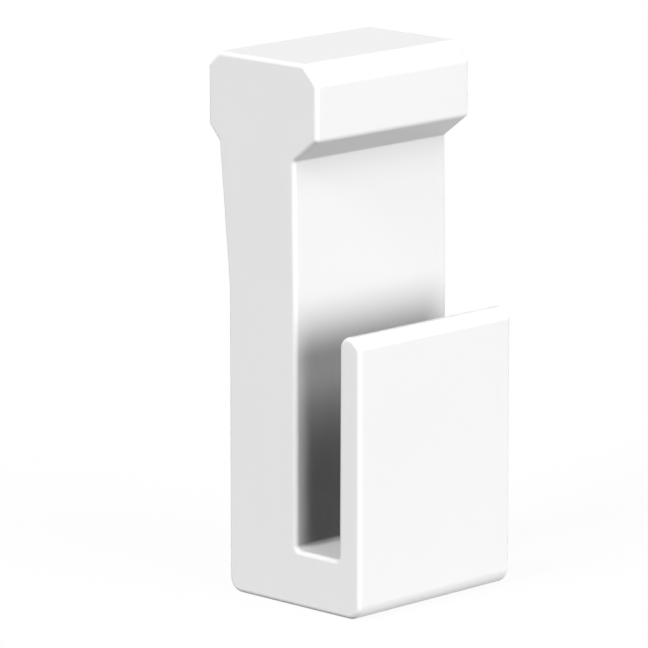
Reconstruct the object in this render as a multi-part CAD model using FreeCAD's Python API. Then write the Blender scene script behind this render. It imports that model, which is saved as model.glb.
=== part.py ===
import FreeCAD, Part
import math
import os

# Picture rail hook, moulded in white plastic as one piece.
#
# A single J-shaped profile is drawn in the YZ plane and extruded along X, the direction of the rail.
# Its head is a T that hangs in the rail's channel, its neck passes through the channel's mouth, and
# the slot between lip and shank takes the picture cord or the arm of a hanger.
# +Z is up and +Y points to the wall. The origin is the middle of the bounding box, at foot level.

# Driving dimensions, in millimetres
hook_width = 18.0            # along the rail
hook_height = 45.0           # foot to top of the head

lip_height = 23.35           # foot to the tip of the lip
lip_tip_thickness = 2.3
lip_root_thickness = 2.4     # the mould's draft leaves the lip thicker at the slot's floor
floor_height = 4.75          # foot to the slot's floor
slot_floor_gap = 4.8         # lip to shank, at the slot's floor

shank_thickness = 7.7        # straight lower part, where the taper begins
shank_draft = 0.05           # how far the shank's front leans back over its height
taper_height = 25.65         # foot to the height where the neck begins
neck_front_lean = 0.15       # how far the neck's front leans back by the time it meets the head
neck_back_lean = 1.1         # how far the neck's back leans out by the time it meets the head

head_height = 6.15           # upright sides of the head, chamfers included
head_front_overhang = 2.6    # head past the neck, towards the room
head_back_overhang = 1.15    # head past the neck, towards the wall
front_shoulder_drop = 1.95   # height of the sloping shoulder under the head's front
back_shoulder_drop = 1.25
head_front_chamfer = 1.5
head_back_chamfer = 1.25
lip_chamfer_depth = 0.95     # across the tip of the lip
lip_chamfer_drop = 0.7       # down its front

foot_rounding = 1.3          # both lower corners of the J
slot_floor_rounding = 0.4    # both corners of the slot's floor
lip_back_rounding = 1.0      # lead-in on the slot's side of the lip
lip_front_rounding = 0.6     # under the lip's chamfer
head_front_rounding = 0.8    # under the head's front chamfer
head_lower_rounding = 0.5    # where the head's front turns into its shoulder
shoulder_rounding = 0.3      # inner corners between the shoulders and the neck
edge_rounding = 0.4          # every edge of the two side faces


def profile_corners():
    """Corners of the J as (y, z, rounding): up the lip, round the slot, over the head and down the back.

    Y is counted from the front of the lip.
    """
    shank_front_floor = lip_root_thickness + slot_floor_gap
    shank_front_top = shank_front_floor + shank_draft
    shank_back = shank_front_top + shank_thickness
    neck_front = shank_front_top + neck_front_lean
    neck_back = shank_back + neck_back_lean
    head_front = neck_front - head_front_overhang
    head_back = neck_back + head_back_overhang
    shoulder_height = hook_height - head_height
    lip = [
        (0.0, 0.0, foot_rounding),
        (0.0, lip_height - lip_chamfer_drop, lip_front_rounding),
        (lip_chamfer_depth, lip_height, 0.0),
        (lip_tip_thickness, lip_height, lip_back_rounding),
    ]
    slot_floor = [
        (lip_root_thickness, floor_height, slot_floor_rounding),
        (shank_front_floor, floor_height, slot_floor_rounding),
    ]
    front = [
        (shank_front_top, taper_height, 0.0),
        (neck_front, shoulder_height - front_shoulder_drop, shoulder_rounding),
        (head_front, shoulder_height, head_lower_rounding),
        (head_front, hook_height - head_front_chamfer, head_front_rounding),
        (head_front + head_front_chamfer, hook_height, 0.0),
    ]
    back = [
        (head_back - head_back_chamfer, hook_height, 0.0),
        (head_back, hook_height - head_back_chamfer, 0.0),
        (head_back, shoulder_height, 0.0),
        (neck_back, shoulder_height - back_shoulder_drop, shoulder_rounding),
        (shank_back, taper_height, 0.0),
        (shank_back, 0.0, foot_rounding),
    ]
    return lip + slot_floor + front + back


def corner_arc(before, corner, after, radius):
    """Start, middle and end of the arc that rounds a corner."""
    to_before = (before - corner).normalize()
    to_after = (after - corner).normalize()
    half_angle = to_before.getAngle(to_after) / 2
    reach = radius / math.tan(half_angle)
    inward = (to_before + to_after).normalize()
    centre = corner + inward * (radius / math.sin(half_angle))
    return corner + to_before * reach, centre - inward * radius, corner + to_after * reach


def rounded_profile(corners, x):
    """Closed wire through the corners, in the plane at x, with an arc at each rounded corner."""
    points = [FreeCAD.Vector(x, y, z) for y, z, rounding in corners]
    arcs = []
    for index, (y, z, rounding) in enumerate(corners):
        before = points[index - 1]
        after = points[(index + 1) % len(points)]
        if rounding > 0:
            arcs.append(corner_arc(before, points[index], after, rounding))
        else:
            arcs.append((points[index],) * 3)
    edges = []
    for index, (start, middle, end) in enumerate(arcs):
        last_end = arcs[index - 1][2]
        edges.append(Part.LineSegment(last_end, start).toShape())
        if start != end:
            edges.append(Part.Arc(start, middle, end).toShape())
    return Part.Wire(edges)


def side_edges(prism):
    """Edges round the prism's two side faces, which are the ones that don't run along X."""
    return [edge for edge in prism.Edges if edge.BoundBox.XLength < hook_width / 2]


def make_hook():
    """The profile as a prism, rounded along both sides and centred in depth."""
    corners = profile_corners()
    profile = rounded_profile(corners, -hook_width / 2)
    prism = Part.Face(profile).extrude(FreeCAD.Vector(hook_width, 0, 0))
    hook = prism.makeFillet(edge_rounding, side_edges(prism))
    hook_depth = max(y for y, z, rounding in corners)
    hook.translate(FreeCAD.Vector(0, -hook_depth / 2, 0))
    return hook


hook = make_hook()
box = hook.optimalBoundingBox(False, False)
print("solids", len(hook.Solids), "valid", hook.isValid(), "faces", len(hook.Faces))
print("size %.2f x %.2f x %.2f mm" % (box.XLength, box.YLength, box.ZLength))
print("y %.3f to %.3f, z %.3f to %.3f" % (box.YMin, box.YMax, box.ZMin, box.ZMax))
print("volume %.1f mm3" % hook.Volume)

os.makedirs("parts", exist_ok=True)
hook.exportStep("parts/rail_hook.step")
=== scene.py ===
# %% [markdown]
# # A picture rail hook, moulded in white plastic
#
# The real hook hangs by its T-shaped head in the channel of a picture rail, and the slot behind its
# lip takes the cord or the hanger of a picture. It comes out of its mould as one piece, so the scene
# has one visible piece. This first step loads the imported model, which is the fixed frame that
# everything else is measured against, and lists its nodes before anything is added.

# %% Load the frame
import math

import bmesh
import bpy
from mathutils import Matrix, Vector


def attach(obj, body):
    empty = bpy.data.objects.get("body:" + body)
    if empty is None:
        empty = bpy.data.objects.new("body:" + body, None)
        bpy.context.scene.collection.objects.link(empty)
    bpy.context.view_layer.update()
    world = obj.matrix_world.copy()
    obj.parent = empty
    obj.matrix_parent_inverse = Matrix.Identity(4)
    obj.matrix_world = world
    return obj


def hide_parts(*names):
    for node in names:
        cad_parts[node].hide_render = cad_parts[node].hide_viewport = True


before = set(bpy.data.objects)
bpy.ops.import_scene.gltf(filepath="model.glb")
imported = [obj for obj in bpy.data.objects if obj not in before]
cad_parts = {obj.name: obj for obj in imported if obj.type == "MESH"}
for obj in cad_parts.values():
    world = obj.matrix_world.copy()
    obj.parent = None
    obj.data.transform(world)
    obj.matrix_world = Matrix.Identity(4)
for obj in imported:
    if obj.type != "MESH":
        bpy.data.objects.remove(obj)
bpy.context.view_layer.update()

print("CAD nodes:", sorted(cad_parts))

# %% [markdown]
# ## The profile
#
# The hook is one J-shaped outline with a T on top, pushed 18 mm along the rail. An outline of this
# kind is easiest to keep right as a list of corners with a rounding at each, as a draughtsman would
# dimension it: a corner can be moved later, and its arc follows. Each row below is a corner seen from
# the left side, with its depth from the lip's front, its height from the foot and its rounding, all
# in millimetres. A moulded edge is never perfectly sharp, so the edges that look sharp on the real
# hook get a rounding of less than a tenth of a millimetre.

# %% Corners of the profile
MM = 0.001
HOOK_WIDTH = 18.0
HOOK_DEPTH = 17.2
CRISP = 0.08

PROFILE = [
    (0.0, 0.0, 1.3),          # foot, front
    (0.0, 22.65, 0.6),        # lip, under its chamfer
    (0.95, 23.35, CRISP),     # lip, top of its chamfer
    (2.3, 23.35, 1.0),        # lip, lead-in on the slot's side
    (2.4, 4.75, 0.4),         # slot floor, front
    (7.2, 4.75, 0.4),         # slot floor, back
    (7.25, 25.65, 0.0),       # shank turns into the neck
    (7.4, 36.9, 0.3),         # neck meets the front shoulder
    (4.8, 38.85, 0.5),        # head, lower front edge
    (4.8, 43.5, 0.8),         # head, under its front chamfer
    (6.3, 45.0, CRISP),       # head, top of its front chamfer
    (15.95, 45.0, CRISP),     # head, top of its back chamfer
    (17.2, 43.75, CRISP),     # head, under its back chamfer
    (17.2, 38.85, CRISP),     # head, lower back edge
    (16.05, 37.6, 0.3),       # neck meets the back shoulder
    (14.95, 25.65, 0.0),      # neck turns into the shank
    (14.95, 0.0, 1.3),        # foot, back
]
print("profile corners:", len(PROFILE))

# %% [markdown]
# ## Insetting the profile
#
# Every edge of the two side faces is rounded by 0.4 mm. Seen from the side, such a rounding is a
# stack of outlines, each a little smaller than the last, so one function that draws the outline at
# any inset is all that the shape needs. Insetting moves each straight run inwards. At an outer corner
# the arc gets tighter, down to a plain mitre, and at an inner corner it gets wider.

# %% Draw the outline at an inset
ARC_STEP = math.radians(9.0)


def run_normal(start, end):
    """Direction into the hook from the run between two corners; the profile goes clockwise."""
    run = (end - start).normalized()
    return Vector((run.y, -run.x))


def outline(inset):
    """Points of the outline in millimetres, with the same number of points at every inset."""
    corners = [Vector((y, z)) for y, z, rounding in PROFILE]
    points = []
    for index, (y, z, rounding) in enumerate(PROFILE):
        corner = corners[index]
        before = run_normal(corners[index - 1], corner)
        after = run_normal(corner, corners[(index + 1) % len(corners)])
        turn = before.angle_signed(after)
        mitre = (before + after) / (1.0 + before.dot(after))
        radius = max(rounding - inset, 0.0) if turn > 0 else -(rounding + inset)
        if rounding == 0.0:
            points.append(corner + mitre * inset)
            continue
        centre = corner + mitre * (inset + radius)
        steps = max(2, math.ceil(abs(turn) / ARC_STEP))
        for step in range(steps + 1):
            lean = before.slerp(after, step / steps)
            points.append(centre - lean * radius)
    return points


print("points round the outline:", len(outline(0.0)))

# %% [markdown]
# ## The moulding
#
# The outlines are now stood side by side like the ribs of a boat and joined with strips of faces: a
# few close together at the left for the rounded edge, a wide span for the body, and a few more at the
# right. Blender's bevel modifier could round the edges too, but where the rounding is wider than the
# arc it passes, as at the crisp chamfer edges, it folds faces over each other. Rings placed by the
# rule above meet there in a clean mitre, and points that fall together are merged.

# %% Join the outlines into a mesh
EDGE_ROUNDING = 0.4
EDGE_STEPS = 6
BODY_SPANS = 6
MERGE_DISTANCE = 0.0005


def ring_places():
    """(x, inset) of every ring from left to right, in millimetres."""
    half = HOOK_WIDTH / 2
    left = []
    for step in range(EDGE_STEPS + 1):
        lean = math.pi / 2 * step / EDGE_STEPS
        x = -half + EDGE_ROUNDING * (1 - math.cos(lean))
        left.append((x, EDGE_ROUNDING * (1 - math.sin(lean))))
    inner = half - EDGE_ROUNDING
    body = [(-inner + 2 * inner * span / BODY_SPANS, 0.0) for span in range(1, BODY_SPANS)]
    right = [(-x, inset) for x, inset in reversed(left)]
    return left + body + right


def build_hook():
    """The hook as a closed mesh in metres, centred in depth and standing on its foot."""
    mesh = bmesh.new()
    rings = []
    for x, inset in ring_places():
        ring = [
            mesh.verts.new((x * MM, (point.x - HOOK_DEPTH / 2) * MM, point.y * MM))
            for point in outline(inset)
        ]
        rings.append(ring)
    mesh.faces.new(rings[0])
    mesh.faces.new(list(reversed(rings[-1])))
    for left, right in zip(rings, rings[1:]):
        for index in range(len(left)):
            mesh.faces.new((left[index - 1], right[index - 1], right[index], left[index]))
    bmesh.ops.remove_doubles(mesh, verts=mesh.verts, dist=MERGE_DISTANCE * MM)
    bmesh.ops.recalc_face_normals(mesh, faces=mesh.faces)
    for face in mesh.faces:
        face.smooth = True
    data = bpy.data.meshes.new("hook_moulding")
    mesh.to_mesh(data)
    mesh.free()
    return data


hook = bpy.data.objects.new("hook_moulding", build_hook())
bpy.context.collection.objects.link(hook)
print("hook faces:", len(hook.data.polygons))

# %% [markdown]
# ## Flat faces that stay flat
#
# Smooth shading blends the direction of neighbouring faces, and on a part like this it would make the
# broad flat faces look swollen near their edges. The weighted normal modifier lets the largest face
# at each point decide, so flats are shaded flat and only the roundings turn the light.

# %% Weight the shading
weighting = hook.modifiers.new("flat faces first", "WEIGHTED_NORMAL")
weighting.mode = "FACE_AREA"
weighting.weight = 100
print("modifiers:", [modifier.name for modifier in hook.modifiers])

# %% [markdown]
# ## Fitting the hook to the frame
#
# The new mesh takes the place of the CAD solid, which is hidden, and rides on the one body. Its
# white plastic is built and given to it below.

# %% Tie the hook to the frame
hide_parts("rail_hook")
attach(hook, "root")

# %% [markdown]
# ## Moulded ABS
#
# The hook is ABS, coloured white all through and moulded in a steel tool with a fine spark-eroded
# finish. That gives it an even white with broad soft highlights and no mirror-like ones. Looked at
# closely, the colour drifts very slightly where the melt cooled at different speeds, the gloss is a
# little uneven, and the tool's finish leaves a fine grain. All three are drawn with noise in the
# part's own coordinates, so they stay put from every side. First come two helpers: one turns a colour
# as it is written into the numbers that a shader works with, the other adds a node.

# %% Colours and nodes
def linear(hex_colour):
    """An sRGB hex colour as the linear RGBA that a shader takes."""
    channels = [int(hex_colour[place:place + 2], 16) / 255 for place in (1, 3, 5)]
    return [c / 12.92 if c <= 0.04045 else ((c + 0.055) / 1.055) ** 2.4 for c in channels] + [1.0]


def add_node(tree, kind, settings=None, inputs=None, links=None):
    """Adds a node: settings are its properties, inputs its socket values, links its input sources."""
    node = tree.nodes.new(kind)
    for name, value in (settings or {}).items():
        setattr(node, name, value)
    for name, value in (inputs or {}).items():
        node.inputs[name].default_value = value
    for name, source in (links or {}).items():
        tree.links.new(source, node.inputs[name])
    return node


print("mid grey, linear:", [round(value, 3) for value in linear("#808080")])

# %% [markdown]
# The white is a little below pure white, as moulded ABS is. It drifts between two neighbouring shades
# over about 12 mm, which is roughly how far a thick moulding's cooling varies.

# %% White that drifts a little
DRIFT_SIZE = 12.0
DARKER_WHITE = "#EDEDED"
LIGHTER_WHITE = "#EFEFEF"
NOISE_DETAIL = 2.0

abs_white = bpy.data.materials.new("moulded_abs_white")
abs_white.use_nodes = True
tree = abs_white.node_tree
tree.nodes.clear()

place = add_node(tree, "ShaderNodeTexCoord").outputs["Object"]
drift = add_node(
    tree, "ShaderNodeTexNoise",
    inputs={"Scale": 1 / (DRIFT_SIZE * MM), "Detail": NOISE_DETAIL},
    links={"Vector": place},
)
# The mix node has sockets of one name for each kind of data, so its colours go by number.
colour = add_node(
    tree, "ShaderNodeMix", settings={"data_type": "RGBA"},
    inputs={6: linear(DARKER_WHITE), 7: linear(LIGHTER_WHITE)}, links={0: drift.outputs["Fac"]},
)
print("white between:", DARKER_WHITE, "and", LIGHTER_WHITE)

# %% [markdown]
# A surface with this finish has a roughness of about 0.55, and it varies a little from spot to spot
# over about 2 mm. The grain itself is about 0.05 mm across, finer than one pixel here, so it is drawn
# at 0.25 mm and kept very shallow.

# %% Gloss and grain
GLOSS_SIZE = 2.0
GLOSS_DETAIL = 3.0
NOISE_LOW, NOISE_HIGH = 0.3, 0.7
ROUGHNESS_LOW, ROUGHNESS_HIGH = 0.52, 0.58
GRAIN_SIZE = 0.25
GRAIN_DEPTH = 0.0003

gloss = add_node(
    tree, "ShaderNodeTexNoise",
    inputs={"Scale": 1 / (GLOSS_SIZE * MM), "Detail": GLOSS_DETAIL},
    links={"Vector": place},
)
roughness = add_node(
    tree, "ShaderNodeMapRange",
    inputs={
        "From Min": NOISE_LOW, "From Max": NOISE_HIGH,
        "To Min": ROUGHNESS_LOW, "To Max": ROUGHNESS_HIGH,
    },
    links={"Value": gloss.outputs["Fac"]},
)
grain = add_node(
    tree, "ShaderNodeTexNoise",
    inputs={"Scale": 1 / (GRAIN_SIZE * MM), "Detail": NOISE_DETAIL},
    links={"Vector": place},
)
relief = add_node(
    tree, "ShaderNodeBump", inputs={"Distance": GRAIN_DEPTH * MM},
    links={"Height": grain.outputs["Fac"]},
)
print("roughness from", ROUGHNESS_LOW, "to", ROUGHNESS_HIGH)

# %% [markdown]
# White ABS has an IOR of about 1.54 and no metal in it. The drawn grain is shallower than the real
# one, so it hides less of the reflection. A specular level of 0.3, in place of the usual 0.5, makes up
# for that and gives the faint sheen that the photograph shows.

# %% Put the plastic together
ABS_IOR = 1.54
ABS_SPECULAR = 0.3

plastic = add_node(
    tree, "ShaderNodeBsdfPrincipled",
    inputs={"IOR": ABS_IOR, "Metallic": 0.0, "Specular IOR Level": ABS_SPECULAR},
    links={
        "Base Color": colour.outputs[2],
        "Roughness": roughness.outputs["Result"],
        "Normal": relief.outputs["Normal"],
    },
)
add_node(tree, "ShaderNodeOutputMaterial", links={"Surface": plastic.outputs["BSDF"]})
hook.data.materials.append(abs_white)
print("material:", abs_white.name, "nodes:", len(tree.nodes))

# %% [markdown]
# ## The camera
#
# The photograph was taken from the hook's front left, a little above it, with a long lens: the hook's
# edges run almost parallel. The camera is placed from the point it looks at, by the angle round the
# hook, the angle above the horizon and the distance in millimetres. These values were fitted to the
# hook's edges in the photograph.

# %% Place the camera
CAMERA_AZIMUTH = math.radians(-45.756)
CAMERA_ELEVATION = math.radians(11.880)
CAMERA_DISTANCE = 471.01
CAMERA_LENS = 318.95
LOOK_AT = Vector((-3.008, 1.225, 22.344)) * MM
SENSOR_WIDTH = 36.0
NEAREST, FURTHEST = 0.01, 20.0


def direction(azimuth, elevation):
    """Unit vector from the hook towards something seen at these angles; azimuth 0 is the front."""
    level = math.cos(elevation)
    return Vector((math.sin(azimuth) * level, -math.cos(azimuth) * level, math.sin(elevation)))


camera_data = bpy.data.cameras.new("camera")
camera_data.sensor_width = SENSOR_WIDTH
camera_data.lens = CAMERA_LENS
camera_data.clip_start = NEAREST
camera_data.clip_end = FURTHEST
camera = bpy.data.objects.new("camera", camera_data)
bpy.context.collection.objects.link(camera)
towards_camera = direction(CAMERA_AZIMUTH, CAMERA_ELEVATION)
camera.location = LOOK_AT + towards_camera * CAMERA_DISTANCE * MM
camera.rotation_euler = (-towards_camera).to_track_quat("-Z", "Y").to_euler()
bpy.context.scene.camera = camera
print("camera at, mm:", [round(value / MM, 1) for value in camera.location])

# %% [markdown]
# ## The studio lamps
#
# The photograph's light is that of a studio with large soft boxes. A very broad one stands in front
# at the hook's own level, and the lip's shadow from it fades slowly up the neck. A weaker one hangs
# high in front and leaves a soft shadow below the head. A smaller one on the left makes the side face
# a shade greyer than the front. The fourth, behind on the right, lights the faces that the photograph
# doesn't show. It only brightens them and makes no highlight, because a glancing one would draw a
# bright line along the head.
#
# Sun lamps with a wide angle do all this with few settings, because their light is the same wherever
# the part stands. Each lamp's level says how bright a white card that faces it would look. Light that
# bounces from face to face is kept out by each lamp's bounce limit, which keeps the slot as deep and
# dark as the photograph has it.

# %% Hang the lamps
LAMPS = [
    # name, azimuth, elevation, width, all in degrees, level, makes highlights
    ("front_box", 5.0, 2.0, 50.0, 0.89, True),
    ("high_front_box", 0.0, 53.0, 28.0, 0.31, True),
    ("left_box", -90.0, 37.0, 23.0, 0.99, True),
    ("back_right_box", 135.0, -8.0, 40.0, 1.0, False),
]

for name, azimuth, elevation, width, level, highlights in LAMPS:
    lamp_data = bpy.data.lights.new(name, "SUN")
    lamp_data.angle = math.radians(width)
    lamp_data.energy = math.pi * level
    lamp_data.cycles.max_bounces = 0
    lamp = bpy.data.objects.new(name, lamp_data)
    towards = direction(math.radians(azimuth), math.radians(elevation))
    lamp.rotation_euler = towards.to_track_quat("Z", "Y").to_euler()
    lamp.visible_glossy = highlights
    bpy.context.collection.objects.link(lamp)
print("lamps:", [lamp[0] for lamp in LAMPS])

# %% [markdown]
# ## Background
#
# The background is plain white. The world shows white to the camera and in reflections, where a
# strength of 1 is white, and gives no light of its own beyond that.

# %% White world
WHITE = "#FFFFFF"


def seen_directly(tree):
    """1 for camera, glossy and transmission rays, 0 for the rays that light other things."""
    path = add_node(tree, "ShaderNodeLightPath")
    shiny = add_node(
        tree, "ShaderNodeMath", settings={"operation": "MAXIMUM"},
        links={0: path.outputs["Is Glossy Ray"], 1: path.outputs["Is Transmission Ray"]},
    )
    return add_node(
        tree, "ShaderNodeMath", settings={"operation": "MAXIMUM"},
        links={0: path.outputs["Is Camera Ray"], 1: shiny.outputs["Value"]},
    ).outputs["Value"]


world = bpy.data.worlds.new("white_world")
bpy.context.scene.world = world
world.use_nodes = True
tree = world.node_tree
tree.nodes.clear()
sky = add_node(
    tree, "ShaderNodeBackground", inputs={"Color": linear(WHITE)},
    links={"Strength": seen_directly(tree)},
)
add_node(tree, "ShaderNodeOutputWorld", links={"Surface": sky.outputs["Background"]})
print("world:", world.name)

# %% [markdown]
# ## Floor
#
# The hook stands on a white floor. Half of the broad front light comes from under the horizon, as it
# would from a white table, so the floor is set to throw no shadow itself and that light reaches the
# hook. It lies a fiftieth of a millimetre under the foot, because two faces in exactly the same place
# would flicker through each other.

# %% Lay the floor
FLOOR_HALF = 3.0
FLOOR_GAP = 0.02

floor_mesh = bmesh.new()
bmesh.ops.create_grid(floor_mesh, x_segments=1, y_segments=1, size=FLOOR_HALF)
floor_data = bpy.data.meshes.new("floor")
floor_mesh.to_mesh(floor_data)
floor_mesh.free()
floor = bpy.data.objects.new("floor", floor_data)
bpy.context.collection.objects.link(floor)
floor.location.z = -FLOOR_GAP * MM
floor.visible_shadow = False
print("floor, metres across:", 2 * FLOOR_HALF)

# %% [markdown]
# The floor's paper is white in the same way as the world, for most of its colour. The rest comes from
# the lamps, so the hook still throws a very faint shadow where it stands.

# %% White paper
SHADOW_SHARE = 0.05

paper = bpy.data.materials.new("white_paper")
paper.use_nodes = True
tree = paper.node_tree
tree.nodes.clear()
matt = add_node(tree, "ShaderNodeBsdfDiffuse", inputs={"Color": linear(WHITE)})
glow = add_node(tree, "ShaderNodeEmission", inputs={"Color": linear(WHITE), "Strength": 1.0})
glow_share = add_node(
    tree, "ShaderNodeMath", settings={"operation": "MULTIPLY"},
    inputs={1: 1 - SHADOW_SHARE}, links={0: seen_directly(tree)},
)
mixed = add_node(
    tree, "ShaderNodeMixShader",
    links={0: glow_share.outputs["Value"], 1: matt.outputs["BSDF"], 2: glow.outputs["Emission"]},
)
add_node(tree, "ShaderNodeOutputMaterial", links={"Surface": mixed.outputs["Shader"]})
floor.data.materials.append(paper)
print("share of the floor that the lamps light:", SHADOW_SHARE)

# %% [markdown]
# ## View transform
#
# The view transform is set to Standard, so a colour renders as it is written.

# %% Set the view transform
bpy.context.scene.view_settings.view_transform = "Standard"
